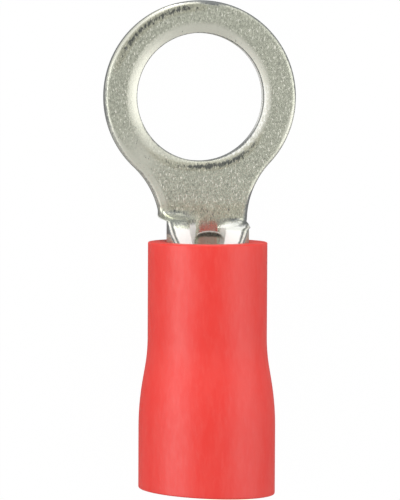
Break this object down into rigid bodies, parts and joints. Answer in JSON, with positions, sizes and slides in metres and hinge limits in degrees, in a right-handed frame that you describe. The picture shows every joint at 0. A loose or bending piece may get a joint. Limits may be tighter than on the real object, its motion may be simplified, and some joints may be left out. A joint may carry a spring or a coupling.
{
  "type": "ring terminal",
  "caption": "Insulated ring crimp terminal: flat ring tongue with a stud hole, necked into a rolled barrel held in a flared vinyl sleeve",
  "frame": {"origin": "centre of the stud hole, on the seat face (the flat underside of the tongue)", "axes": "+Z out of the upper face of the tongue, towards the side the barrel seam is on; +Y from the stud hole towards the tip of the ring; the barrel and sleeve lie towards -Y, their axis 1.7 mm above the seat face and 0.175 mm towards +X"},
  "size_m": [0.008, 0.0204, 0.0056],
  "materials": {
    "tinned_copper": "matte tin plate over copper strip, fine rolling grain",
    "vinyl": "soft satin vinyl, slightly mottled"
  },
  "bodies": {
    "root": {"terminal": "tinned_copper", "insulating_sleeve": "vinyl"}
  },
  "joints": []
}
